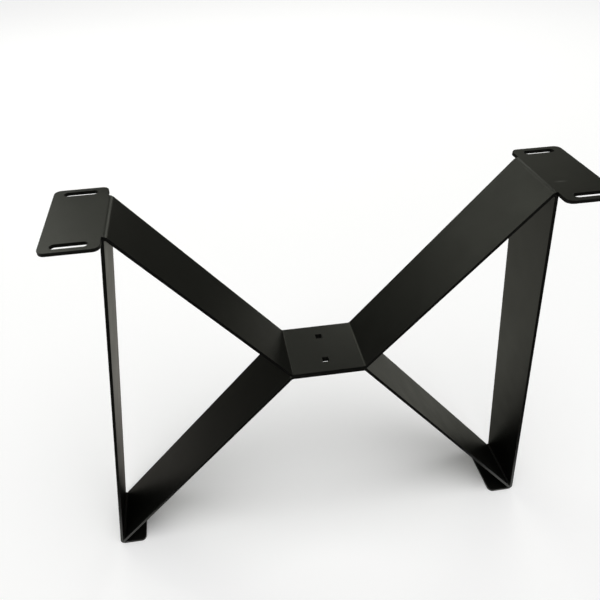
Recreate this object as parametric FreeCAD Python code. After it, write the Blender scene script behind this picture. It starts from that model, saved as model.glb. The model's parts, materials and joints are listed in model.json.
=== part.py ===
"""X-shaped table leg: four strips of sheet steel, folded and welded into one open frame.

The upper strip runs from one top plate down to the centre flat and up to the other plate.
The lower strip lies under the same flat and runs down to both feet.  An upright on each side
ties the top fold to the foot, which is folded on at its lower end.  X runs along the leg's
width, Y through its depth and Z up from the floor; the origin is on the floor at mid-width.
"""
import FreeCAD, Part
import math
import os

from FreeCAD import Vector

# Sheet and folds
sheet_thickness = 5.0
bend_radius = 5.0           # inside radius of every fold
strip_width = 116.0         # depth of all four strips, front to back

# Frame
leg_height = 720.0          # floor to the top of the plates
centre_height = 434.0       # floor to the top of the upper centre flat
centre_flat_length = 122.0  # both centre flats, measured on the hollow side of their folds
top_fold_span = 600.0       # from one top fold's outer corner to the other's

# Top plates
plate_length = 77.5         # from the end of the top fold to the plate's outer end
ear_depth = 27.0            # how far a plate stands out past the strip, front and rear
plate_corner_radius = 10.0
slot_length = 48.0
slot_width = 12.0
slot_margin = 8.0           # from a plate's front or rear edge to its slot

# Feet
foot_span = 856.0           # over the outer corners of both feet
foot_length = 53.5          # from a foot's outer corner to its inner end
foot_corner_radius = 10.0

# Square holes through the centre flats
bolt_hole_size = 11.0
bolt_hole_spacing = 60.0    # front to back

# Weld beads, each measured across its face
top_weld_face = 3.0
foot_weld_face = 5.0
weld_hollow = 0.5           # how far a bead's face is hollowed

# Places that follow from the sizes above
flat_half = centre_flat_length / 2
fold_half = top_fold_span / 2
foot_half = foot_span / 2
foot_inner_end = foot_half - foot_length
outer_radius = bend_radius + sheet_thickness
lower_underside = centre_height - 2 * sheet_thickness
tolerance = FreeCAD.Base.Precision.confusion()

# The upper arms run from the centre flat to the top folds, and the plates widen where those folds end
upper_slope = math.atan2(leg_height - centre_height, fold_half - flat_half)
ear_start = fold_half + outer_radius * math.tan(upper_slope / 2)
plate_end = ear_start + plate_length
plate_width = strip_width + 2 * ear_depth

# The inner face of an upright starts where the undersides of arm and plate would meet
notch_x = fold_half + sheet_thickness * math.tan(upper_slope / 2)
notch_z = leg_height - sheet_thickness
lean = math.acos(sheet_thickness / math.hypot(foot_half - notch_x, notch_z))
lean -= math.atan2(notch_z, foot_half - notch_x)

# The underside of a lower arm points at the line where the upright's inner face would meet the floor
heel_x = foot_half - sheet_thickness / math.cos(lean)
lower_slope = math.atan2(lower_underside, heel_x - flat_half)


def side_point(x, z):
    """Point of the side view, which lies in the XZ plane."""
    return Vector(x, 0, z)


def plan_point(x, y):
    """Point of the plan, which lies in the XY plane."""
    return Vector(x, y, 0)


def rounded_face(corners, place):
    """Face whose outline passes the corners (u, v, radius), each rounded by its radius."""
    points = [place(u, v) for u, v, _ in corners]
    bends = []
    for index, (_, _, radius) in enumerate(corners):
        corner = points[index]
        back = (points[index - 1] - corner).normalize()
        ahead = (points[(index + 1) % len(points)] - corner).normalize()
        half_angle = back.getAngle(ahead) / 2
        tangent = radius / math.tan(half_angle)
        crest = (back + ahead).normalize() * (radius / math.sin(half_angle) - radius)
        bends.append((corner + back * tangent, corner + crest, corner + ahead * tangent))
    edges = []
    for index, (start, crest, end) in enumerate(bends):
        last_end = bends[index - 1][2]
        if last_end.distanceToPoint(start) > tolerance:
            edges.append(Part.LineSegment(last_end, start).toShape())
        if start.distanceToPoint(end) > tolerance:
            edges.append(Part.Arc(start, crest, end).toShape())
    return Part.Face(Part.Wire(edges))


def folded_section(path, side):
    """Side view of a folded sheet.

    One face of the sheet follows the path.  The sheet lies on the path's left for side +1 and
    on its right for side -1.
    """
    points = [side_point(x, z) for x, z in path]
    runs = [(end - start).normalize() for start, end in zip(points, points[1:])]
    normals = [Vector(-run.z, 0, run.x) * side for run in runs]
    near, far = [], []
    for index, point in enumerate(points):
        before = normals[max(index - 1, 0)]
        after = normals[min(index, len(normals) - 1)]
        shift = (before + after) * (sheet_thickness / (1 + before.dot(after)))
        near_radius = far_radius = 0
        if 0 < index < len(points) - 1:
            bends_to_sheet = runs[index].dot(before) > 0
            near_radius = outer_radius if bends_to_sheet else bend_radius
            far_radius = bend_radius if bends_to_sheet else outer_radius
        near.append((point.x, point.z, near_radius))
        far.append((point.x + shift.x, point.z + shift.z, far_radius))
    return rounded_face(near + far[::-1], side_point)


def across(face, width):
    """Solid of a side view carried through the depth, centred front to back."""
    solid = face.extrude(Vector(0, width, 0))
    solid.translate(Vector(0, -width / 2, 0))
    return solid


def largest(shape):
    """The main solid that a cut leaves."""
    return max(shape.Solids, key=lambda solid: solid.Volume)


def turned_round(solid):
    """The same piece on the other side of the leg."""
    copy = solid.copy()
    copy.rotate(Vector(0, 0, 0), Vector(0, 0, 1), 180)
    return copy


def bolt_holes():
    """Square bars that cut the two holes of the centre flats."""
    half = bolt_hole_size / 2
    bars = []
    for y in (-bolt_hole_spacing / 2, bolt_hole_spacing / 2):
        start = Vector(-half, y - half, 0)
        bars.append(Part.makeBox(bolt_hole_size, bolt_hole_size, leg_height, start))
    return bars


def plate_slots():
    """Round-ended bars that cut the four fixing slots, along X in the middle of the plates."""
    bars = []
    radius = slot_width / 2
    slot_x = ear_start + plate_length / 2
    slot_y = plate_width / 2 - slot_margin - radius
    for x in (-slot_x, slot_x):
        for y in (-slot_y, slot_y):
            left, right = x - slot_length / 2, x + slot_length / 2
            corners = [(left, y - radius), (right, y - radius), (right, y + radius), (left, y + radius)]
            face = rounded_face([(u, v, radius) for u, v in corners], plan_point)
            bars.append(face.extrude(Vector(0, 0, 2 * leg_height)))
    return bars


def make_upper_strip():
    """Plate, arm, centre flat, arm, plate: one blank with four folds."""
    path = [(-plate_end, leg_height), (-fold_half, leg_height), (-flat_half, centre_height)]
    path += [(-x, z) for x, z in path[::-1]]
    folded = across(folded_section(path, -1), plate_width)
    arm_half, ear_half, radius = strip_width / 2, plate_width / 2, plate_corner_radius
    right_end = [(ear_start, -arm_half, 0), (ear_start, -ear_half, radius), (plate_end, -ear_half, radius)]
    right_end += [(x, -y, r) for x, y, r in right_end[::-1]]
    left_end = [(-x, -y, r) for x, y, r in right_end]
    outline = rounded_face(right_end + left_end, plan_point).extrude(Vector(0, 0, 2 * leg_height))
    return largest(folded.common(outline).cut(plate_slots() + bolt_holes())).removeSplitter()


def is_foot_corner(edge):
    """True for the two upright edges at the inner end of the right foot."""
    box = edge.BoundBox
    at_end = max(abs(box.XMin - foot_inner_end), abs(box.XMax - foot_inner_end)) < tolerance
    return at_end and box.YLength < tolerance < box.ZLength


def make_right_upright(upper_strip):
    """Upright with its foot folded inwards and its top fitted under the upper strip."""
    above = leg_height + outer_radius
    path = [(foot_inner_end, 0), (foot_half, 0), (foot_half - above * math.tan(lean), above)]
    solid = across(folded_section(path, 1), strip_width)
    corners = [edge for edge in solid.Edges if is_foot_corner(edge)]
    return largest(solid.makeFillet(foot_corner_radius, corners).cut(upper_strip))


def make_lower_strip(uprights):
    """Arm, centre flat, arm: one blank with two folds, its ends fitted into the feet."""
    end_x = heel_x + foot_length * math.cos(lower_slope)
    end_z = -foot_length * math.sin(lower_slope)
    path = [(-end_x, end_z), (-flat_half, lower_underside), (flat_half, lower_underside), (end_x, end_z)]
    solid = across(folded_section(path, 1), strip_width)
    return largest(solid.cut(uprights + bolt_holes()))


def notch_bead(corner, run_one, run_two, face_width):
    """Bead with a hollow face in the notch between two flat faces that run away from the corner."""
    leg = face_width / 2 / math.sin(run_one.getAngle(run_two) / 2)
    start, end = corner + run_one * leg, corner + run_two * leg
    middle = (start + end) * 0.5
    crest = middle + (corner - middle).normalize() * weld_hollow
    edges = [
        Part.LineSegment(corner, start).toShape(),
        Part.Arc(start, crest, end).toShape(),
        Part.LineSegment(end, corner).toShape(),
    ]
    return across(Part.Face(Part.Wire(edges)), strip_width)


def make_right_top_weld(upper_strip, upright):
    """Bead between the upper arm's underside and the upright's inner face."""
    down_arm = side_point(-math.cos(upper_slope), -math.sin(upper_slope))
    down_upright = side_point(math.sin(lean), -math.cos(lean))
    bead = notch_bead(side_point(notch_x, notch_z), down_arm, down_upright, top_weld_face)
    return largest(bead.cut([upper_strip, upright]))


def make_right_foot_weld(lower_strip, upright):
    """Bead between the lower arm's upper face and the upright's inner face."""
    up_arm = side_point(-math.cos(lower_slope), math.sin(lower_slope))
    up_upright = side_point(-math.sin(lean), math.cos(lean))
    corner = side_point(heel_x, 0) + up_upright * (sheet_thickness / math.cos(lower_slope + lean))
    bead = notch_bead(corner, up_arm, up_upright, foot_weld_face)
    return largest(bead.cut([lower_strip, upright]))


upper_strip = make_upper_strip()
right_upright = make_right_upright(upper_strip)
left_upright = turned_round(right_upright)
lower_strip = make_lower_strip([left_upright, right_upright])
right_top_weld = make_right_top_weld(upper_strip, right_upright)
right_foot_weld = make_right_foot_weld(lower_strip, right_upright)

pieces = {
    "upper_strip": upper_strip,
    "lower_strip": lower_strip,
    "left_upright": left_upright,
    "right_upright": right_upright,
    "left_top_weld": turned_round(right_top_weld),
    "right_top_weld": right_top_weld,
    "left_foot_weld": turned_round(right_foot_weld),
    "right_foot_weld": right_foot_weld,
}

os.makedirs("parts", exist_ok=True)
for name, solid in pieces.items():
    solid.exportStep(os.path.join("parts", name + ".step"))
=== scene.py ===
"""X-shaped table leg of folded steel strip in satin black powder coat, set in a plain studio.

The leg's solids are the fixed frame.  Each operator models one piece, or one pair of like
pieces, in the place of its solid: sheet that is run and folded as on a press brake, with
softened edges, and weld beads with their ripples.  Everything is in metres.  X runs along the
leg's width, Y through its depth and Z up from the floor.
"""
import json
import math
from typing import NamedTuple

import bmesh
import bpy
from bpy.props import FloatProperty, FloatVectorProperty, PointerProperty
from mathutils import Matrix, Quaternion, Vector


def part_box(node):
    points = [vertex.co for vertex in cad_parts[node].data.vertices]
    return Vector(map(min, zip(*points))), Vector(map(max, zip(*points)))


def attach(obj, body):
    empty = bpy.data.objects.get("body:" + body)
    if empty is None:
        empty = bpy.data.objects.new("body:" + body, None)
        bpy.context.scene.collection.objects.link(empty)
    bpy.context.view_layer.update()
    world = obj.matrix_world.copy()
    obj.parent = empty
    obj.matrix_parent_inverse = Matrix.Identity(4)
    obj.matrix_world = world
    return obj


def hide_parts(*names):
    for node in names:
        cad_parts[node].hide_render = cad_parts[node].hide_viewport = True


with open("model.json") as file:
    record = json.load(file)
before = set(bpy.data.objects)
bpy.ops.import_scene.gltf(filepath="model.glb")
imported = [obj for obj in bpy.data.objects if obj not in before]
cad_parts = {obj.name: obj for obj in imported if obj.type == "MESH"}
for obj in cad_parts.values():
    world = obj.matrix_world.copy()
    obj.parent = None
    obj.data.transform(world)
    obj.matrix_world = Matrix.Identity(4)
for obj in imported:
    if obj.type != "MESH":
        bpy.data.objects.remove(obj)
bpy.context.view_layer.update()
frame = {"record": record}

bl_info = {
    "name": "X-Shaped Table Leg",
    "version": (1, 0, 0),
    "blender": (4, 5, 0),
    "location": "View3D > Sidebar > Table Leg",
    "description": "Models an X-shaped table leg of folded strip and sets it in a plain studio",
    "category": "Object",
}

# What the frame gives
UPPER_LOW, UPPER_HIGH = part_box("upper_strip")
LOWER_LOW, LOWER_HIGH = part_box("lower_strip")
UPRIGHT_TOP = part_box("right_upright")[1].z
MOUNTS = {mount["name"]: mount["dims"] for mount in frame["record"]["mounts"]}
SLOTS = MOUNTS["table_top_slots"]
HOLES = MOUNTS["stretcher_holes"]
MILLIMETRE = 0.001

# The body that every piece is attached to
BODY = "root"

# How the meshes are made
DEPTH_AXIS = (0, -1, 0)        # a positive turn about it lifts what heads along +X
FOLD_STEPS = 12
CORNER_STEPS = 8
HOLE_CORNER_STEPS = 3
EDGE_STEPS = 3
SHARP_ANGLE = math.radians(30)
MERGE_DISTANCE = 1e-6
BEAD_STEPS_ACROSS = 8
BEAD_STEPS_PER_RIPPLE = 6
BEAD_END_FULLNESS = 0.5        # of a bead's section, where it has run out
FLAT_FACES_FIRST = 100         # the large faces alone set the shading where they meet small ones
FACING = 0.9                   # how squarely a face points along an axis to be taken for it
RIGHT, LEFT = 1, -1
REAR, FRONT = 1, -1

# How the coat's nodes are set
GRAIN_DETAIL = 2.0
GRAIN_UNEVENNESS = 0.55
DRIFTS_PER_METRE = 22.0
DRIFT_DETAIL = 3.0
DRIFT_UNEVENNESS = 0.5
MIX_FIRST, MIX_SECOND, MIX_RESULT = 6, 7, 2      # colour sockets of a mix node

# The stage
STAGE_MIDDLE = Vector((0, 0, 0.6))
FLOOR_HALF_SIZE = 25.0
OVERHEAD_PLACE = Vector((0, -0.9, 3))
OVERHEAD_SPREAD = math.radians(60)
LAMP_DISTANCE = 5.0
BACKDROP_RADIUS = 7.0
BACKDROP_BOTTOM = 0.01
BACKDROP_TOP = 6.2
BACKDROP_FRONT = 1.5
BACKDROP_STEPS = 24
FLAG_RADIUS = 1.15
FLAG_STEPS = 24
MAT_HEIGHT = 0.001

# The camera, for a square picture
IMAGE_SIZE = 600
SENSOR_WIDTH = 36.0
CAMERA_PLACE = Vector((-0.16597, -0.71012, 1.08578))
CAMERA_HEADING = math.radians(6.186)     # from +Y towards +X
CAMERA_DOWN = math.radians(41.659)       # below the horizon
CAMERA_ROLL = math.radians(-2.515)
FOCAL_PIXELS = 566.27
CENTRE_PIXEL = (270.48, 346.34)          # where the optical axis meets the picture


class Lamp(NamedTuple):
    """A soft lamp's place and size, as angles in degrees that the leg's middle sees."""

    heading: float              # from +Y towards +X
    elevation: float
    breadth: float              # in heading
    height: float               # in elevation


class Flag(NamedTuple):
    """An upright card's reach round the leg, in degrees from +Y towards +X, and its heights."""

    first: float
    last: float
    bottom: float
    top: float


class Mat(NamedTuple):
    """The sides of a card on the floor, and the depth over which it grows light out of a painted shadow
    of the leg.
    """

    left: float
    right: float
    front: float
    rear: float
    fade: float                 # from the leg's middle plane backwards, 0 for an even card


SOFT_BOX = Lamp(heading=-35.8, elevation=28, breadth=28.4, height=20)
BRIDGE_LIGHT = Lamp(heading=-11.5, elevation=40.75, breadth=25, height=11.5)
STRIP_LIGHT = Lamp(heading=20, elevation=26, breadth=16, height=20)
SIDE_LIGHT = Lamp(heading=36, elevation=24, breadth=12, height=14)
LEFT_FLAG = Flag(first=-85, last=20, bottom=0, top=0.815)
RIGHT_FLAG = Flag(first=20, last=85, bottom=0.25, top=0.83)
# The fades of the rear mats are a painted shadow of the leg on the floor, as the leg's gloss mirrors it.
FAR_LEFT_MAT = Mat(left=-1.3, right=-0.6, front=0, rear=4, fade=0.32)
LEFT_MAT = Mat(left=-0.6, right=-0.25, front=0, rear=4, fade=0.39)
RIGHT_MAT = Mat(left=-0.25, right=0.45, front=0, rear=4, fade=0.32)
FAR_RIGHT_MAT = Mat(left=0.45, right=1.8, front=0, rear=4, fade=0.32)
FRONT_MAT = Mat(left=-2, right=2.6, front=-3.5, rear=-0.12, fade=0)


def length_property(name, description, default):
    """A length that the sidebar shows with its unit."""
    return FloatProperty(
        name=name, description=description, default=default, min=0, unit="LENGTH", precision=4)


def share_property(name, description, default):
    """A number from 0 to 1 that the sidebar shows as a slider."""
    return FloatProperty(
        name=name, description=description, default=default, min=0, max=1, subtype="FACTOR")


def colour_property(name, description, default):
    """A linear colour."""
    return FloatVectorProperty(
        name=name, description=description, default=default, min=0, max=1, subtype="COLOR")


def strength_property(name, description, default):
    """The strength of a lamp or a card."""
    return FloatProperty(name=name, description=description, default=default, min=0)


def index_property(name, description, default):
    """A refractive index."""
    return FloatProperty(name=name, description=description, default=default, min=1)


class LegSizes(bpy.types.PropertyGroup):
    """Sizes of the leg."""

    sheet_thickness: length_property(
        "Sheet Thickness", "Thickness of every strip", UPPER_HIGH.z - UPRIGHT_TOP)
    bend_radius: length_property("Bend Radius", "Inside radius of every fold", 5 * MILLIMETRE)
    strip_width: length_property(
        "Strip Width", "Depth of the strips, front to back", LOWER_HIGH.y - LOWER_LOW.y)
    leg_height: length_property("Leg Height", "Floor to the top of the plates", UPPER_HIGH.z)
    seam_height: length_property(
        "Seam Height", "Floor to the seam between the two centre flats", LOWER_HIGH.z)
    centre_flat_length: length_property(
        "Centre Flat Length", "Centre flats, on the hollow side of their folds", 122 * MILLIMETRE)
    top_fold_span: length_property(
        "Top Fold Span", "From one top fold's outer corner to the other's", 600 * MILLIMETRE)
    plate_span: length_property(
        "Plate Span", "From one top plate's outer end to the other's", UPPER_HIGH.x - UPPER_LOW.x)
    plate_width: length_property("Plate Width", "Depth of the top plates", UPPER_HIGH.y - UPPER_LOW.y)
    plate_corner_radius: length_property(
        "Plate Corner Radius", "Rounding of the plates' corners", 10 * MILLIMETRE)
    slot_spacing: length_property(
        "Slot Spacing", "Between slot centres, along the leg", SLOTS["spacing_x_mm"] * MILLIMETRE)
    slot_row_spacing: length_property(
        "Slot Row Spacing", "Between slot centres, front to back", SLOTS["spacing_y_mm"] * MILLIMETRE)
    slot_length: length_property(
        "Slot Length", "Slots, end to end", SLOTS["slot_length_mm"] * MILLIMETRE)
    slot_width: length_property("Slot Width", "Slots, side to side", 2 * SLOTS["hole_r_mm"] * MILLIMETRE)
    hole_size: length_property("Hole Size", "Square holes of the centre flats", 11 * MILLIMETRE)
    hole_spacing: length_property(
        "Hole Spacing", "Between the square holes, front to back", HOLES["spacing_y_mm"] * MILLIMETRE)
    foot_span: length_property("Foot Span", "Over the outer corners of both feet", 856 * MILLIMETRE)
    foot_length: length_property(
        "Foot Length", "From a foot's outer corner to its inner end", 53.5 * MILLIMETRE)
    foot_corner_radius: length_property(
        "Foot Corner Radius", "Rounding of the feet's corners", 10 * MILLIMETRE)
    edge_radius: length_property(
        "Edge Radius", "Softening of the cut edges under the coat", 0.3 * MILLIMETRE)


class WeldSizes(bpy.types.PropertyGroup):
    """Sizes of the weld beads."""

    top_face: length_property("Top Face", "Top beads, across the face", 3 * MILLIMETRE)
    foot_face: length_property("Foot Face", "Foot beads, across the face", 5 * MILLIMETRE)
    hollow: length_property("Hollow", "How far a bead's face is hollowed", 0.5 * MILLIMETRE)
    ripple_pitch: length_property("Ripple Pitch", "From one ripple to the next", 2.4 * MILLIMETRE)
    ripple_height: length_property("Ripple Height", "Ripples, crest to trough", 0.15 * MILLIMETRE)
    end_taper: length_property("End Taper", "Over which a bead runs out at its ends", 3 * MILLIMETRE)


class CoatLook(bpy.types.PropertyGroup):
    """Look of the powder coat."""

    colour: colour_property("Colour", "Colour of the coat", (0.0032, 0.0032, 0.0028))
    tone_change: share_property("Tone Change", "How much the colour drifts over a strip", 0.12)
    roughness: share_property("Roughness", "Mean roughness of the coat", 0.33)
    weld_roughness: share_property("Weld Roughness", "Mean roughness over the welds", 0.5)
    roughness_change: share_property("Roughness Change", "How far the roughness drifts", 0.07)
    index: index_property("Refractive Index", "How strongly the coat's surface reflects", 1.4)
    weld_index: index_property("Weld Index", "How strongly the dull coat over the welds reflects", 1.2)
    tint: colour_property("Reflection Tint", "Colour of the coat's reflections", (0.985, 1.0, 0.9))
    grain_size: length_property("Grain Size", "Size of the coat's fine grain", 1.3 * MILLIMETRE)
    grain_depth: length_property("Grain Depth", "Depth of the coat's fine grain", 0.07 * MILLIMETRE)
    # The glint is a painted highlight: a lighter streak painted into the coat's colour on the right
    # plate.
    glint_colour: colour_property("Scuff Colour", "Colour of the faint scuff", (0.045, 0.045, 0.041))
    glint_place: FloatVectorProperty(
        name="Scuff Place", description="Middle of the faint scuff on the right plate", subtype="XYZ",
        unit="LENGTH", precision=4, default=(323.7 * MILLIMETRE, -29.3 * MILLIMETRE, UPPER_HIGH.z))
    glint_length: length_property("Scuff Length", "Faint scuff, end to end", 23 * MILLIMETRE)
    glint_width: length_property("Scuff Width", "Faint scuff, side to side", 5 * MILLIMETRE)


class StageLook(bpy.types.PropertyGroup):
    """Look of the studio."""

    floor_colour: colour_property("Floor Colour", "Colour of the floor", (0.93, 0.93, 0.93))
    floor_lift: share_property("Floor Lift", "Glow that brings the floor up to white", 0.07)
    top_strength: strength_property("Top Light", "Irradiance from the light overhead", 2.45)
    room_strength: strength_property("Room Light", "Radiance of the room's light", 0.12)
    lamp_colour: colour_property("Lamp Colour", "Colour of the three bright lamps", (0.985, 1.0, 0.91))
    box_strength: strength_property("Soft Box", "Radiance of the large lamp at the left", 1.5)
    bridge_strength: strength_property("Bridge Light", "Radiance of the high lamp behind the leg", 2.3)
    strip_strength: strength_property("Strip Light", "Radiance of the narrow lamp at the right", 1.8)
    side_strength: strength_property("Side Light", "Radiance of the dim lamp at the far right", 0.22)
    card_colour: colour_property(
        "Card Colour", "Colour of backdrop, flags, front mat and dim lamp", (0.985, 1.0, 0.84))
    backdrop_strength: strength_property("Backdrop", "Radiance of the backdrop", 0.11)
    flag_strength: strength_property("Flags", "Radiance of the flags", 0.058)
    left_mat_colour: colour_property("Left Mat Colour", "Mats behind at the left", (1.0, 0.955, 0.87))
    left_mat_strength: strength_property("Left Mat", "Radiance of the mat behind at the left", 0.5)
    far_left_mat_strength: strength_property("Far Left Mat", "Radiance of the mat at the far left", 0.3)
    right_mat_colour: colour_property(
        "Right Mat Colour", "Mats behind at the right", (0.985, 0.985, 0.86))
    right_mat_strength: strength_property("Right Mat", "Radiance of the mat behind at the right", 0.375)
    far_right_mat_strength: strength_property(
        "Far Right Mat", "Radiance of the mat at the far right", 0.32)
    # Rear mats are dimmer next to the leg: a painted shadow of the leg on the floor, as its gloss
    # mirrors it.
    near_share: share_property("Near Share", "Share of a rear mat's radiance next to the leg", 0.15)
    front_mat_strength: strength_property("Front Mat", "Radiance of the mat in front", 0.015)


class LegLines:
    """Places and angles of the leg's lines in the side view, worked out from its sizes."""

    def __init__(self, sizes):
        thickness = sizes.sheet_thickness
        self.outer_radius = sizes.bend_radius + thickness
        self.flat_half = sizes.centre_flat_length / 2
        self.fold_half = sizes.top_fold_span / 2
        self.foot_half = sizes.foot_span / 2

        rise = sizes.leg_height - sizes.seam_height - thickness
        reach = self.fold_half - self.flat_half
        self.upper_slope = math.atan2(rise, reach)
        self.upper_arm = math.hypot(rise, reach)

        # Where the undersides of upper arm and plate would meet, the upright's inner face starts
        notch_x = self.fold_half + thickness * math.tan(self.upper_slope / 2)
        self.notch = Vector((notch_x, 0, sizes.leg_height - thickness))
        lean = math.acos(thickness / math.hypot(self.foot_half - notch_x, self.notch.z))
        self.lean = lean - math.atan2(self.notch.z, self.foot_half - notch_x)
        self.up_upright = Vector((-math.sin(self.lean), 0, math.cos(self.lean)))

        # Where the upright's inner face would meet the floor, the lower arm's underside ends
        self.heel = Vector((self.foot_half - thickness / math.cos(self.lean), 0, 0))
        drop = sizes.seam_height - thickness
        self.lower_slope = math.atan2(drop, self.heel.x - self.flat_half)
        self.lower_arm = math.hypot(drop, self.heel.x - self.flat_half)

        # Centres of the hollows that upright and lower arm seat in
        top_setback = sizes.bend_radius * math.tan(self.upper_slope / 2)
        self.top_hollow = self.notch + Vector((top_setback, 0, -sizes.bend_radius))
        foot_z = thickness + sizes.bend_radius
        foot_setback = (sizes.bend_radius + foot_z * math.sin(self.lean)) / math.cos(self.lean)
        self.foot_hollow = Vector((self.heel.x - foot_setback, 0, foot_z))


def take_over(bm, face, grown):
    """Opens the sheet behind what has grown from a face, and returns the new end face."""
    bmesh.ops.delete(bm, geom=[face], context="FACES_ONLY")
    return next(item for item in grown if isinstance(item, bmesh.types.BMFace))


def extrude_face(bm, face, move):
    """Carries a face straight on, and returns it in its new place."""
    grown = bmesh.ops.extrude_face_region(bm, geom=[face])["geom"]
    verts = [item for item in grown if isinstance(item, bmesh.types.BMVert)]
    bmesh.ops.translate(bm, verts=verts, vec=move)
    return take_over(bm, face, grown)


class FoldedSheet:
    """The end of a sheet, which grows by straight runs and folds."""

    def __init__(self, bm, end, heading, thickness):
        self.bm = bm
        self.end = end
        self.heading = heading
        self.thickness = thickness

    def run(self, length):
        """Goes straight on."""
        self.end = extrude_face(self.bm, self.end, self.heading * length)

    def fold(self, angle, inside_radius):
        """Turns about the depth axis, on a true inside radius."""
        to_left = Vector((-self.heading.z, 0, self.heading.x))
        reach = math.copysign(inside_radius + self.thickness / 2, angle)
        centre = self.end.calc_center_median() + to_left * reach
        grown = bmesh.ops.spin(self.bm, geom=[self.end], cent=centre, axis=DEPTH_AXIS, angle=angle,
                               steps=FOLD_STEPS, use_merge=False, use_duplicate=False)["geom_last"]
        self.end = take_over(self.bm, self.end, grown)
        self.heading = Quaternion(DEPTH_AXIS, angle) @ self.heading

    def sides(self):
        """Front and rear face of the last run, in that order."""
        self.bm.normal_update()
        beside = {face for edge in self.end.edges for face in edge.link_faces} - {self.end}
        sides = [face for face in beside if abs(face.normal.y) > FACING]
        return sorted(sides, key=lambda face: face.normal.y)


def facing(faces, axis):
    """The face that points most along an axis."""
    return max(faces, key=lambda face: face.normal.dot(axis))


def everything(bm):
    """All parts of a mesh."""
    return [*bm.verts, *bm.edges, *bm.faces]


def flat_blank(bm, length, sizes, middle):
    """A flat piece of sheet, to be folded on from both ends."""
    verts = bmesh.ops.create_cube(bm, size=1)["verts"]
    bmesh.ops.scale(bm, verts=verts, vec=(length, sizes.strip_width, sizes.sheet_thickness))
    bmesh.ops.translate(bm, verts=verts, vec=middle)
    bm.normal_update()
    return list(bm.faces)


def opening_rim(bm, centre, length, width, radius, steps):
    """Edges of a rounded opening's outline."""
    verts = bmesh.ops.create_grid(bm, x_segments=1, y_segments=1, size=0.5)["verts"]
    bmesh.ops.scale(bm, verts=verts, vec=(length, width, 1))
    bmesh.ops.translate(bm, verts=verts, vec=centre)
    verts = bmesh.ops.bevel(bm, geom=verts, offset=radius, offset_type="OFFSET", segments=steps,
                            profile=0.5, affect="VERTICES", material=-1)["verts"]
    outline = verts[0].link_faces[0]
    bmesh.ops.remove_doubles(bm, verts=list(outline.verts), dist=MERGE_DISTANCE)
    edges = list(outline.edges)
    bmesh.ops.delete(bm, geom=[outline], context="FACES_ONLY")
    return edges


def cut_openings(bm, faces, centres, length, width, radius, steps):
    """Cuts like openings through a sheet, between its upper and its lower face."""
    rims = [[] for _ in centres]
    for face in faces:
        height = face.calc_center_median().z
        normal = face.normal.copy()
        border = list(face.edges)
        bmesh.ops.delete(bm, geom=[face], context="FACES_ONLY")
        for rim, (x, y) in zip(rims, centres):
            edges = opening_rim(bm, Vector((x, y, height)), length, width, radius, steps)
            rim.extend(edges)
            border.extend(edges)
        bmesh.ops.triangle_fill(bm, edges=border, normal=normal, use_beauty=True)
    for rim in rims:
        bmesh.ops.bridge_loops(bm, edges=rim)


def cut_bolt_holes(bm, blank, sizes):
    """Cuts the two square holes of a centre flat."""
    faces = [facing(blank, Vector((0, 0, 1))), facing(blank, Vector((0, 0, -1)))]
    centres = [(0, end * sizes.hole_spacing / 2) for end in (FRONT, REAR)]
    size = sizes.hole_size
    cut_openings(bm, faces, centres, size, size, sizes.edge_radius, HOLE_CORNER_STEPS)


def round_corners(bm, edges, radius):
    """Rounds the upright corner edges of a plate."""
    bmesh.ops.bevel(bm, geom=edges, offset=radius, offset_type="OFFSET", segments=CORNER_STEPS,
                    profile=0.5, affect="EDGES", material=-1)


def upright_edges(face):
    """The edges of a face that stand upright."""
    return [edge for edge in face.edges if abs(edge.verts[0].co.z - edge.verts[1].co.z) > MERGE_DISTANCE]


def trim(bm, place, outwards):
    """Cuts off what lies beyond a plane, if anything does, and closes the cut."""
    if all((vert.co - place).dot(outwards) < MERGE_DISTANCE for vert in bm.verts):
        return
    cut = bmesh.ops.bisect_plane(bm, geom=everything(bm), dist=MERGE_DISTANCE, plane_co=place,
                                 plane_no=outwards, clear_outer=True)["geom_cut"]
    edges = [item for item in cut if isinstance(item, bmesh.types.BMEdge)]
    bmesh.ops.edgeloop_fill(bm, edges=edges)


def cope(bm, hollow, radius, first, turn):
    """Fits an end into the hollow of a fold, by flat cuts that turn round it from the first."""
    for step in range(FOLD_STEPS + 1):
        outwards = Quaternion(DEPTH_AXIS, turn * step / FOLD_STEPS) @ first
        trim(bm, hollow + outwards * radius, outwards)


def widen_plate(bm, sheet, side, sizes):
    """Adds the front and rear ear of a top plate, with their rounded corners and slots."""
    ear_depth = (sizes.plate_width - sizes.strip_width) / 2
    for face in sheet.sides():
        end = round(face.normal.y)
        tip = extrude_face(bm, face, Vector((0, end * ear_depth, 0)))
        round_corners(bm, upright_edges(tip), sizes.plate_corner_radius)
        bm.normal_update()
        slot = (side * sizes.slot_spacing / 2, end * sizes.slot_row_spacing / 2)
        level = [face for face in bm.faces if abs(face.normal.z) > FACING]
        ear = [face for face in level if surrounds(face, slot)]
        width = sizes.slot_width
        cut_openings(bm, ear, [slot], sizes.slot_length, width, width / 2, CORNER_STEPS)


def surrounds(face, place):
    """True for a level face whose plan box has a place inside it."""
    corners = [vert.co for vert in face.verts]
    x, y = place
    return (min(c.x for c in corners) < x < max(c.x for c in corners)
            and min(c.y for c in corners) < y < max(c.y for c in corners))


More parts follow.
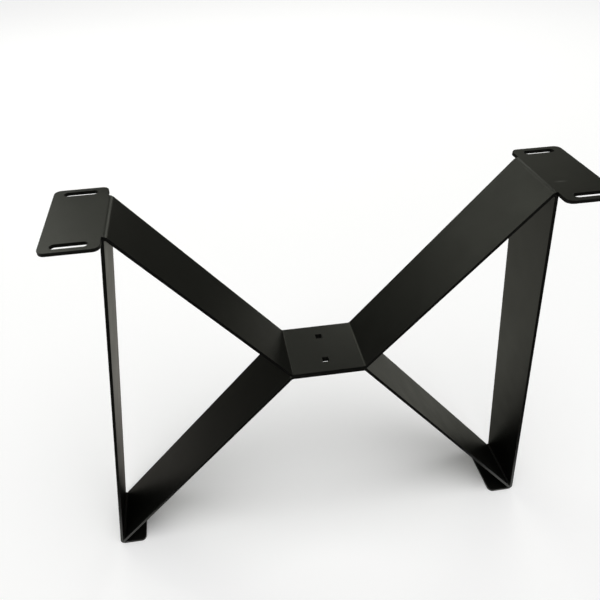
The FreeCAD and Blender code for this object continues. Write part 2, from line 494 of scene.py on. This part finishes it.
def model_upper_strip(sizes):
    """Plate, arm, centre flat, arm and plate, folded from one blank."""
    lines = LegLines(sizes)
    setback = sizes.bend_radius * math.tan(lines.upper_slope / 2)
    top_setback = lines.outer_radius * math.tan(lines.upper_slope / 2)
    middle = Vector((0, 0, sizes.seam_height + sizes.sheet_thickness / 2))
    bm = bmesh.new()
    blank = flat_blank(bm, 2 * (lines.flat_half - setback), sizes, middle)
    ends = {side: facing(blank, Vector((side, 0, 0))) for side in (LEFT, RIGHT)}
    cut_bolt_holes(bm, blank, sizes)
    for side, end in ends.items():
        sheet = FoldedSheet(bm, end, Vector((side, 0, 0)), sizes.sheet_thickness)
        sheet.fold(side * lines.upper_slope, sizes.bend_radius)
        sheet.run(lines.upper_arm - setback - top_setback)
        sheet.fold(-side * lines.upper_slope, sizes.bend_radius)
        sheet.run(sizes.plate_span / 2 - lines.fold_half - top_setback)
        widen_plate(bm, sheet, side, sizes)
    return bm


def model_lower_strip(sizes):
    """Arm, centre flat and arm, folded from one blank and coped to the folds of the feet."""
    lines = LegLines(sizes)
    setback = sizes.bend_radius * math.tan(lines.lower_slope / 2)
    middle = Vector((0, 0, sizes.seam_height - sizes.sheet_thickness / 2))
    bm = bmesh.new()
    blank = flat_blank(bm, 2 * (lines.flat_half - setback), sizes, middle)
    ends = {side: facing(blank, Vector((side, 0, 0))) for side in (LEFT, RIGHT)}
    cut_bolt_holes(bm, blank, sizes)
    for side, end in ends.items():
        sheet = FoldedSheet(bm, end, Vector((side, 0, 0)), sizes.sheet_thickness)
        sheet.fold(-side * lines.lower_slope, sizes.bend_radius)
        sheet.run(lines.lower_arm - setback + sizes.foot_length)
    for side in (LEFT, RIGHT):
        hollow = Vector((side * lines.foot_hollow.x, 0, lines.foot_hollow.z))
        cope(bm, hollow, sizes.bend_radius, Vector((0, 0, -1)), side * (math.pi / 2 + lines.lean))
    return bm


def model_upright(side, sizes):
    """An upright with its foot folded inwards and its top coped to the fold of the plate."""
    lines = LegLines(sizes)
    turn = math.pi / 2 + lines.lean
    setback = lines.outer_radius * math.tan(turn / 2)
    flat = sizes.foot_length - setback
    middle = Vector((lines.foot_half - setback - flat / 2, 0, sizes.sheet_thickness / 2))
    bm = bmesh.new()
    blank = flat_blank(bm, flat, sizes, middle)
    toe = facing(blank, Vector((-1, 0, 0)))
    sheet = FoldedSheet(bm, facing(blank, Vector((1, 0, 0))), Vector((1, 0, 0)), sizes.sheet_thickness)
    round_corners(bm, upright_edges(toe), sizes.foot_corner_radius)
    sheet.fold(turn, sizes.bend_radius)
    sheet.run(sizes.leg_height / math.cos(lines.lean))
    cope(bm, lines.top_hollow, sizes.bend_radius, Vector((0, 0, 1)), lines.upper_slope)
    turn_round(bm, side)
    return bm


def turn_round(bm, side):
    """Turns a piece of the right side to the side that it belongs to."""
    if side == LEFT:
        half_turn = Quaternion((0, 0, 1), math.pi).to_matrix()
        bmesh.ops.rotate(bm, verts=bm.verts, cent=(0, 0, 0), matrix=half_turn)


def model_bead(side, corner, run_one, run_two, face_width, sizes, weld):
    """A weld bead in the notch between two faces that run away from the corner."""
    leg = face_width / 2 / math.sin(run_one.angle(run_two) / 2)
    start, end = corner + run_one * leg, corner + run_two * leg
    outwards = ((start + end) / 2 - corner).normalized()
    half_length = sizes.strip_width / 2 - sizes.edge_radius
    steps_along = round(2 * half_length / weld.ripple_pitch * BEAD_STEPS_PER_RIPPLE)
    bm = bmesh.new()
    grid = bmesh.ops.create_grid(bm, x_segments=BEAD_STEPS_ACROSS, y_segments=steps_along, size=0.5)
    for vert in grid["verts"]:
        share = vert.co.x + 0.5
        depth = 2 * vert.co.y * half_length
        bulge = 4 * share * (1 - share)
        phase = 2 * math.pi * (depth / weld.ripple_pitch + bulge / 2)
        lift = (weld.ripple_height * math.cos(phase) / 2 - weld.hollow) * bulge
        point = start.lerp(end, share) + outwards * lift
        past = max(0, abs(depth) - half_length + weld.end_taper) / weld.end_taper
        run_out = 1 - math.sqrt(max(0, 1 - past * past))
        point = corner.lerp(point, 1 - (1 - BEAD_END_FULLNESS) * run_out)
        vert.co = Vector((point.x, depth, point.z))
    border = [edge for edge in bm.edges if edge.is_boundary]
    grown = bmesh.ops.extrude_edge_only(bm, edges=border)["geom"]
    for vert in (item for item in grown if isinstance(item, bmesh.types.BMVert)):
        vert.co = Vector((corner.x, vert.co.y, corner.z))
    turn_round(bm, side)
    return bm


def place_piece(bm, name, node, material, edge_radius=0):
    """Makes the finished object of a piece, in the place of its solid."""
    bmesh.ops.remove_doubles(bm, verts=bm.verts, dist=MERGE_DISTANCE)
    bmesh.ops.recalc_face_normals(bm, faces=bm.faces)
    mesh = bpy.data.meshes.new(name)
    bm.to_mesh(mesh)
    bm.free()
    mesh.shade_smooth()
    mesh.materials.append(material)
    piece = bpy.data.objects.new(name, mesh)
    bpy.context.scene.collection.objects.link(piece)
    if edge_radius:
        soften = piece.modifiers.new("Soft Edges", "BEVEL")
        soften.limit_method = "ANGLE"
        soften.angle_limit = SHARP_ANGLE
        soften.width = edge_radius
        soften.segments = EDGE_STEPS
        even = piece.modifiers.new("Even Shading", "WEIGHTED_NORMAL")
        even.weight = FLAT_FACES_FIRST
    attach(piece, BODY)
    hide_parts(node)


def linked(tree, kind, links=(), **settings):
    """Adds a node with its settings, and gives each named socket a value or a link."""
    node = tree.nodes.new(kind)
    for name, value in settings.items():
        setattr(node, name, value)
    for socket, source in links:
        if hasattr(source, "is_output"):
            tree.links.new(source, node.inputs[socket])
        else:
            node.inputs[socket].default_value = source
    return node


def coat_grain_group():
    """Node group of a baked powder coat: its fine uneven skin and a slow drift of tone."""
    name = "Coat Grain"
    if name in bpy.data.node_groups:
        return bpy.data.node_groups[name]
    group = bpy.data.node_groups.new(name, "ShaderNodeTree")
    group.interface.new_socket("Grains per Metre", in_out="INPUT", socket_type="NodeSocketFloat")
    group.interface.new_socket("Height", in_out="OUTPUT", socket_type="NodeSocketFloat")
    group.interface.new_socket("Tone", in_out="OUTPUT", socket_type="NodeSocketFloat")
    inputs = linked(group, "NodeGroupInput")
    place = linked(group, "ShaderNodeTexCoord").outputs["Object"]
    grain = linked(group, "ShaderNodeTexNoise", [
        ("Vector", place),
        ("Scale", inputs.outputs["Grains per Metre"]),
        ("Detail", GRAIN_DETAIL),
        ("Roughness", GRAIN_UNEVENNESS)])
    drift = linked(group, "ShaderNodeTexNoise", [
        ("Vector", place),
        ("Scale", DRIFTS_PER_METRE),
        ("Detail", DRIFT_DETAIL),
        ("Roughness", DRIFT_UNEVENNESS)])
    linked(group, "NodeGroupOutput", [("Height", grain.outputs[0]), ("Tone", drift.outputs[0])])
    return group


def glint_group():
    """Node group of a painted highlight streak: a mask that fades out from its middle to its ends and
    sides.
    """
    name = "Scuff"
    if name in bpy.data.node_groups:
        return bpy.data.node_groups[name]
    group = bpy.data.node_groups.new(name, "ShaderNodeTree")
    group.interface.new_socket("Place", in_out="INPUT", socket_type="NodeSocketVector")
    group.interface.new_socket("Half Size", in_out="INPUT", socket_type="NodeSocketVector")
    group.interface.new_socket("Mask", in_out="OUTPUT", socket_type="NodeSocketFloat")
    inputs = linked(group, "NodeGroupInput")
    local = linked(group, "ShaderNodeMapping", [
        ("Vector", linked(group, "ShaderNodeTexCoord").outputs["Object"]),
        ("Location", inputs.outputs["Place"]),
        ("Scale", inputs.outputs["Half Size"])], vector_type="TEXTURE")
    fade = linked(group, "ShaderNodeTexGradient", [("Vector", local.outputs["Vector"])],
                  gradient_type="SPHERICAL")
    linked(group, "NodeGroupOutput", [("Mask", fade.outputs[1])])
    return group


def coat_material(name, look, roughness, index):
    """Satin black powder coat on Object coordinates, with a painted highlight streak on the right plate.
    """
    if name in bpy.data.materials:
        return bpy.data.materials[name]
    material = bpy.data.materials.new(name)
    material.use_nodes = True
    tree = material.node_tree
    tree.nodes.clear()
    grain = linked(tree, "ShaderNodeGroup", node_tree=coat_grain_group())
    grain.inputs["Grains per Metre"].default_value = 1 / look.grain_size
    # Painted highlight: a lighter streak on the right plate, mixed into the coat's colour below.
    glint = linked(tree, "ShaderNodeGroup", node_tree=glint_group())
    glint.inputs["Place"].default_value = look.glint_place
    half_length, half_width = look.glint_length / 2, look.glint_width / 2
    glint.inputs["Half Size"].default_value = (half_length, half_width, half_width)
    dark, light = 1 - look.tone_change, 1 + look.tone_change
    shade = linked(tree, "ShaderNodeMix", [
        ("Factor", grain.outputs["Tone"]),
        (MIX_FIRST, [part * dark for part in look.colour] + [1]),
        (MIX_SECOND, [part * light for part in look.colour] + [1])], data_type="RGBA")
    # Lightens the coat's colour where the painted highlight lies.
    glinted = linked(tree, "ShaderNodeMix", [
        ("Factor", glint.outputs["Mask"]),
        (MIX_FIRST, shade.outputs[MIX_RESULT]),
        (MIX_SECOND, [*look.glint_colour, 1])], data_type="RGBA")
    rough = linked(tree, "ShaderNodeMapRange", [
        ("Value", grain.outputs["Tone"]),
        ("To Min", roughness - look.roughness_change),
        ("To Max", roughness + look.roughness_change)])
    bump = linked(tree, "ShaderNodeBump", [
        ("Strength", 1.0), ("Distance", look.grain_depth), ("Height", grain.outputs["Height"])])
    shader = linked(tree, "ShaderNodeBsdfPrincipled", [
        ("Base Color", glinted.outputs[MIX_RESULT]),
        ("Roughness", rough.outputs["Result"]),
        ("Normal", bump.outputs["Normal"]),
        ("IOR", index),
        ("Specular Tint", [*look.tint, 1])])
    linked(tree, "ShaderNodeOutputMaterial", [("Surface", shader.outputs["BSDF"])])
    return material


def strip_coat(look):
    """The coat on the strips."""
    return coat_material("strip_coat", look, look.roughness, look.index)


def weld_coat(look):
    """The coat over the weld beads."""
    return coat_material("weld_coat", look, look.weld_roughness, look.weld_index)


def side_name(side):
    """The word for a side in the pieces' names."""
    return "right" if side == RIGHT else "left"


class TABLELEG_OT_upper_strip(bpy.types.Operator):
    """Model the upper strip with its slotted top plates"""

    bl_idname = "table_leg.upper_strip"
    bl_label = "Upper Strip"

    def execute(self, context):
        sizes, look = context.scene.leg_sizes, context.scene.coat_look
        place_piece(model_upper_strip(sizes), "folded_upper_strip", "upper_strip", strip_coat(look),
                    sizes.edge_radius)
        return {"FINISHED"}


class TABLELEG_OT_lower_strip(bpy.types.Operator):
    """Model the lower strip with its two arms"""

    bl_idname = "table_leg.lower_strip"
    bl_label = "Lower Strip"

    def execute(self, context):
        sizes, look = context.scene.leg_sizes, context.scene.coat_look
        place_piece(model_lower_strip(sizes), "folded_lower_strip", "lower_strip", strip_coat(look),
                    sizes.edge_radius)
        return {"FINISHED"}


class TABLELEG_OT_uprights(bpy.types.Operator):
    """Model the two uprights with their feet"""

    bl_idname = "table_leg.uprights"
    bl_label = "Uprights"

    def execute(self, context):
        sizes, look = context.scene.leg_sizes, context.scene.coat_look
        for side in (LEFT, RIGHT):
            name = side_name(side)
            place_piece(model_upright(side, sizes), f"folded_{name}_upright", f"{name}_upright",
                        strip_coat(look), sizes.edge_radius)
        return {"FINISHED"}


class TABLELEG_OT_top_welds(bpy.types.Operator):
    """Model the beads under the top folds"""

    bl_idname = "table_leg.top_welds"
    bl_label = "Top Welds"

    def execute(self, context):
        sizes, weld, look = context.scene.leg_sizes, context.scene.weld_sizes, context.scene.coat_look
        lines = LegLines(sizes)
        down_arm = Vector((-math.cos(lines.upper_slope), 0, -math.sin(lines.upper_slope)))
        for side in (LEFT, RIGHT):
            name = side_name(side)
            bead = model_bead(side, lines.notch, down_arm, -lines.up_upright, weld.top_face, sizes, weld)
            place_piece(bead, f"{name}_top_bead", f"{name}_top_weld", weld_coat(look))
        return {"FINISHED"}


class TABLELEG_OT_foot_welds(bpy.types.Operator):
    """Model the beads between the lower arms and the uprights"""

    bl_idname = "table_leg.foot_welds"
    bl_label = "Foot Welds"

    def execute(self, context):
        sizes, weld, look = context.scene.leg_sizes, context.scene.weld_sizes, context.scene.coat_look
        lines = LegLines(sizes)
        up_arm = Vector((-math.cos(lines.lower_slope), 0, math.sin(lines.lower_slope)))
        rise = sizes.sheet_thickness / math.cos(lines.lower_slope + lines.lean)
        corner = lines.heel + lines.up_upright * rise
        for side in (LEFT, RIGHT):
            name = side_name(side)
            bead = model_bead(side, corner, up_arm, lines.up_upright, weld.foot_face, sizes, weld)
            place_piece(bead, f"{name}_foot_bead", f"{name}_foot_weld", weld_coat(look))
        return {"FINISHED"}


def add_object(name, data, place=(0, 0, 0), towards=None):
    """Adds a lamp, a camera or a stage mesh, turned towards a place where one is given."""
    added = bpy.data.objects.new(name, data)
    added.location = place
    if towards is not None:
        added.rotation_mode = "QUATERNION"
        added.rotation_quaternion = (Vector(towards) - Vector(place)).to_track_quat("-Z", "Y")
    bpy.context.scene.collection.objects.link(added)
    return added


def direction(heading, elevation):
    """Unit vector at a heading from +Y towards +X and an elevation over the horizon."""
    level = math.cos(elevation)
    return Vector((level * math.sin(heading), level * math.cos(heading), math.sin(elevation)))


def add_overhead(look):
    """A broad light from above, which lights the floor but leaves no highlight."""
    lamp = bpy.data.lights.new("overhead", "SUN")
    lamp.energy = look.top_strength
    lamp.angle = OVERHEAD_SPREAD
    added = add_object("overhead", lamp, OVERHEAD_PLACE, (0, 0, 0))
    added.visible_glossy = False


def add_soft_box(name, lamp, colour, radiance):
    """A flat soft lamp of an even radiance, turned to the leg's middle."""
    elevation = math.radians(lamp.elevation)
    away = direction(math.radians(lamp.heading), elevation) * LAMP_DISTANCE
    light = bpy.data.lights.new(name, "AREA")
    light.shape = "RECTANGLE"
    light.size = 2 * LAMP_DISTANCE * math.cos(elevation) * math.tan(math.radians(lamp.breadth / 2))
    light.size_y = 2 * LAMP_DISTANCE * math.tan(math.radians(lamp.height / 2))
    light.energy = radiance * math.pi * light.size * light.size_y
    light.color = colour
    added = add_object(name, light, STAGE_MIDDLE + away, STAGE_MIDDLE)
    added.visible_camera = False


def background_rays(tree):
    """Output that is 1 for the rays that see the background, straight or in a reflection."""
    rays = linked(tree, "ShaderNodeLightPath").outputs
    straight = linked(tree, "ShaderNodeMath", [(0, rays["Is Camera Ray"]), (1, rays["Is Glossy Ray"])])
    seen = linked(tree, "ShaderNodeMath", [(0, straight.outputs[0]), (1, rays["Is Transmission Ray"])],
                  use_clamp=True)
    return seen.outputs[0]


def add_stage_mesh(name, bm, material):
    """Adds a floor or card, which isn't part of the leg."""
    mesh = bpy.data.meshes.new(name)
    bm.to_mesh(mesh)
    bm.free()
    mesh.materials.append(material)
    added = add_object(name, mesh)
    return added


def add_floor(look):
    """A plain white floor, which keeps the leg's shadow."""
    material = bpy.data.materials.new("floor_paint")
    material.use_nodes = True
    tree = material.node_tree
    shader = tree.nodes["Principled BSDF"]
    shader.inputs["Base Color"].default_value = [*look.floor_colour, 1]
    shader.inputs["Roughness"].default_value = 1.0
    shader.inputs["Specular IOR Level"].default_value = 0.0
    shader.inputs["Emission Color"].default_value = (1, 1, 1, 1)
    glow = linked(tree, "ShaderNodeMath", [(0, background_rays(tree)), (1, look.floor_lift)],
                  operation="MULTIPLY")
    tree.links.new(glow.outputs[0], shader.inputs["Emission Strength"])
    bm = bmesh.new()
    bmesh.ops.create_grid(bm, x_segments=1, y_segments=1, size=FLOOR_HALF_SIZE)
    add_stage_mesh("floor", bm, material)


def add_card(name, bm, colour, radiance):
    """A grey card that only reflections see.  Returns its glow, for a change of strength."""
    material = bpy.data.materials.new(name)
    material.use_nodes = True
    tree = material.node_tree
    tree.nodes.clear()
    glow = linked(tree, "ShaderNodeEmission", [("Color", [*colour, 1]), ("Strength", radiance)])
    linked(tree, "ShaderNodeOutputMaterial", [("Surface", glow.outputs["Emission"])])
    card = add_stage_mesh(name, bm, material)
    card.visible_camera = False
    card.visible_diffuse = False
    card.visible_transmission = False
    card.visible_volume_scatter = False
    card.visible_shadow = False
    return glow


def keep_beyond(bm, place, inwards):
    """Keeps what lies on one side of a plane."""
    bmesh.ops.bisect_plane(bm, geom=everything(bm), dist=MERGE_DISTANCE, plane_co=place,
                           plane_no=inwards, clear_inner=True)


def add_backdrop(colour, radiance):
    """Part of a dome behind the leg, open above."""
    bm = bmesh.new()
    bmesh.ops.create_uvsphere(bm, u_segments=2 * BACKDROP_STEPS, v_segments=BACKDROP_STEPS,
                              radius=BACKDROP_RADIUS)
    keep_beyond(bm, (0, 0, BACKDROP_BOTTOM), (0, 0, 1))
    keep_beyond(bm, (0, 0, BACKDROP_TOP), (0, 0, -1))
    keep_beyond(bm, (0, BACKDROP_FRONT, 0), (0, 1, 0))
    add_card("backdrop", bm, colour, radiance)


def add_flag(name, flag, colour, radiance):
    """An upright card, bent round the leg."""
    start = direction(math.radians(flag.first), 0) * FLAG_RADIUS
    bm = bmesh.new()
    foot = bm.verts.new((start.x, start.y, flag.bottom))
    head = bm.verts.new((start.x, start.y, flag.top))
    edge = bm.edges.new((foot, head))
    bmesh.ops.spin(bm, geom=[foot, head, edge], cent=(0, 0, 0), axis=(0, 0, -1),
                   angle=math.radians(flag.last - flag.first), steps=FLAG_STEPS,
                   use_merge=False, use_duplicate=False)
    add_card(name, bm, colour, radiance)


def depth_fade(tree, reach, near, far):
    """Output that changes from one value at the leg's middle plane to another behind it; the low value
    next to the leg is a painted shadow of the leg.
    """
    place = linked(tree, "ShaderNodeTexCoord").outputs["Object"]
    depth = linked(tree, "ShaderNodeSeparateXYZ", [("Vector", place)]).outputs["Y"]
    fade = linked(tree, "ShaderNodeMapRange", [
        ("Value", depth), ("From Max", reach), ("To Min", near), ("To Max", far)])
    return fade.outputs["Result"]


def add_mat(name, mat, colour, radiance, near_share):
    """A card that lies on the floor, and that may grow light towards the rear, out of a painted shadow
    of the leg.
    """
    bm = bmesh.new()
    verts = bmesh.ops.create_grid(bm, x_segments=1, y_segments=1, size=0.5)["verts"]
    bmesh.ops.scale(bm, verts=verts, vec=(mat.right - mat.left, mat.rear - mat.front, 1))
    middle = ((mat.left + mat.right) / 2, (mat.front + mat.rear) / 2, MAT_HEIGHT)
    bmesh.ops.translate(bm, verts=verts, vec=middle)
    glow = add_card(name, bm, colour, radiance)
    # Painted shadow: a rear mat is dimmed next to the leg, as if the leg shaded it.
    if mat.fade:
        tree = glow.id_data
        strength = depth_fade(tree, mat.fade, near_share * radiance, radiance)
        tree.links.new(strength, glow.inputs["Strength"])


def add_cards(look):
    """Cards behind the leg and on the floor, which its gloss mirrors."""
    add_backdrop(look.card_colour, look.backdrop_strength)
    add_flag("left_flag", LEFT_FLAG, look.card_colour, look.flag_strength)
    add_flag("right_flag", RIGHT_FLAG, look.card_colour, look.flag_strength)
    near = look.near_share
    add_mat("far_left_mat", FAR_LEFT_MAT, look.left_mat_colour, look.far_left_mat_strength, near)
    add_mat("left_mat", LEFT_MAT, look.left_mat_colour, look.left_mat_strength, near)
    add_mat("right_mat", RIGHT_MAT, look.right_mat_colour, look.right_mat_strength, near)
    add_mat("far_right_mat", FAR_RIGHT_MAT, look.right_mat_colour, look.far_right_mat_strength, near)
    add_mat("front_mat", FRONT_MAT, look.card_colour, look.front_mat_strength, near)


def add_camera():
    """The camera, at the photograph's viewing angle."""
    camera = bpy.data.cameras.new("camera")
    camera.sensor_width = SENSOR_WIDTH
    camera.lens = FOCAL_PIXELS / IMAGE_SIZE * SENSOR_WIDTH
    camera.shift_x = (IMAGE_SIZE / 2 - CENTRE_PIXEL[0]) / IMAGE_SIZE
    camera.shift_y = (CENTRE_PIXEL[1] - IMAGE_SIZE / 2) / IMAGE_SIZE
    forward = direction(CAMERA_HEADING, -CAMERA_DOWN)
    added = add_object("camera", camera, CAMERA_PLACE, CAMERA_PLACE + forward)
    added.rotation_quaternion = added.rotation_quaternion @ Quaternion((0, 0, 1), CAMERA_ROLL)
    bpy.context.scene.camera = added


def add_world(look):
    """Even light from all round, and a white background."""
    world = bpy.data.worlds.new("room")
    world.use_nodes = True
    tree = world.node_tree
    background = tree.nodes["Background"]
    background.inputs["Color"].default_value = (1, 1, 1, 1)
    strength = linked(tree, "ShaderNodeMapRange", [
        ("Value", background_rays(tree)), ("To Min", look.room_strength), ("To Max", 1.0)])
    tree.links.new(strength.outputs["Result"], background.inputs["Strength"])
    bpy.context.scene.world = world


class TABLELEG_OT_stage(bpy.types.Operator):
    """Set the floor, the light and the camera"""

    bl_idname = "table_leg.stage"
    bl_label = "Stage"

    def execute(self, context):
        scene = context.scene
        look = scene.stage_look
        scene.view_settings.view_transform = "Standard"
        add_floor(look)
        add_camera()
        add_overhead(look)
        add_soft_box("soft_box", SOFT_BOX, look.lamp_colour, look.box_strength)
        add_soft_box("bridge_light", BRIDGE_LIGHT, look.lamp_colour, look.bridge_strength)
        add_soft_box("strip_light", STRIP_LIGHT, look.lamp_colour, look.strip_strength)
        add_soft_box("side_light", SIDE_LIGHT, look.card_colour, look.side_strength)
        add_cards(look)
        add_world(look)
        return {"FINISHED"}


class TABLELEG_PT_panel(bpy.types.Panel):
    """Steps and sizes of the table leg"""

    bl_idname = "TABLELEG_PT_panel"
    bl_label = "Table Leg"
    bl_space_type = "VIEW_3D"
    bl_region_type = "UI"
    bl_category = "Table Leg"

    def draw(self, context):
        for operator in OPERATORS:
            self.layout.operator(operator.bl_idname)
        for pointer, group in GROUPS.items():
            box = self.layout.box()
            box.label(text=group.__doc__)
            for name in group.__annotations__:
                box.prop(getattr(context.scene, pointer), name)


OPERATORS = (
    TABLELEG_OT_stage,
    TABLELEG_OT_upper_strip,
    TABLELEG_OT_lower_strip,
    TABLELEG_OT_uprights,
    TABLELEG_OT_top_welds,
    TABLELEG_OT_foot_welds,
)
GROUPS = {"leg_sizes": LegSizes, "weld_sizes": WeldSizes, "coat_look": CoatLook, "stage_look": StageLook}
CLASSES = (*GROUPS.values(), *OPERATORS, TABLELEG_PT_panel)


def register():
    for cls in CLASSES:
        bpy.utils.register_class(cls)
    for pointer, group in GROUPS.items():
        setattr(bpy.types.Scene, pointer, PointerProperty(type=group))


def unregister():
    for pointer in GROUPS:
        delattr(bpy.types.Scene, pointer)
    for cls in reversed(CLASSES):
        bpy.utils.unregister_class(cls)


def main():
    register()
    bpy.ops.table_leg.stage()
    bpy.ops.table_leg.upper_strip()
    bpy.ops.table_leg.lower_strip()
    bpy.ops.table_leg.uprights()
    bpy.ops.table_leg.top_welds()
    bpy.ops.table_leg.foot_welds()


if __name__ == "__main__":
    main()
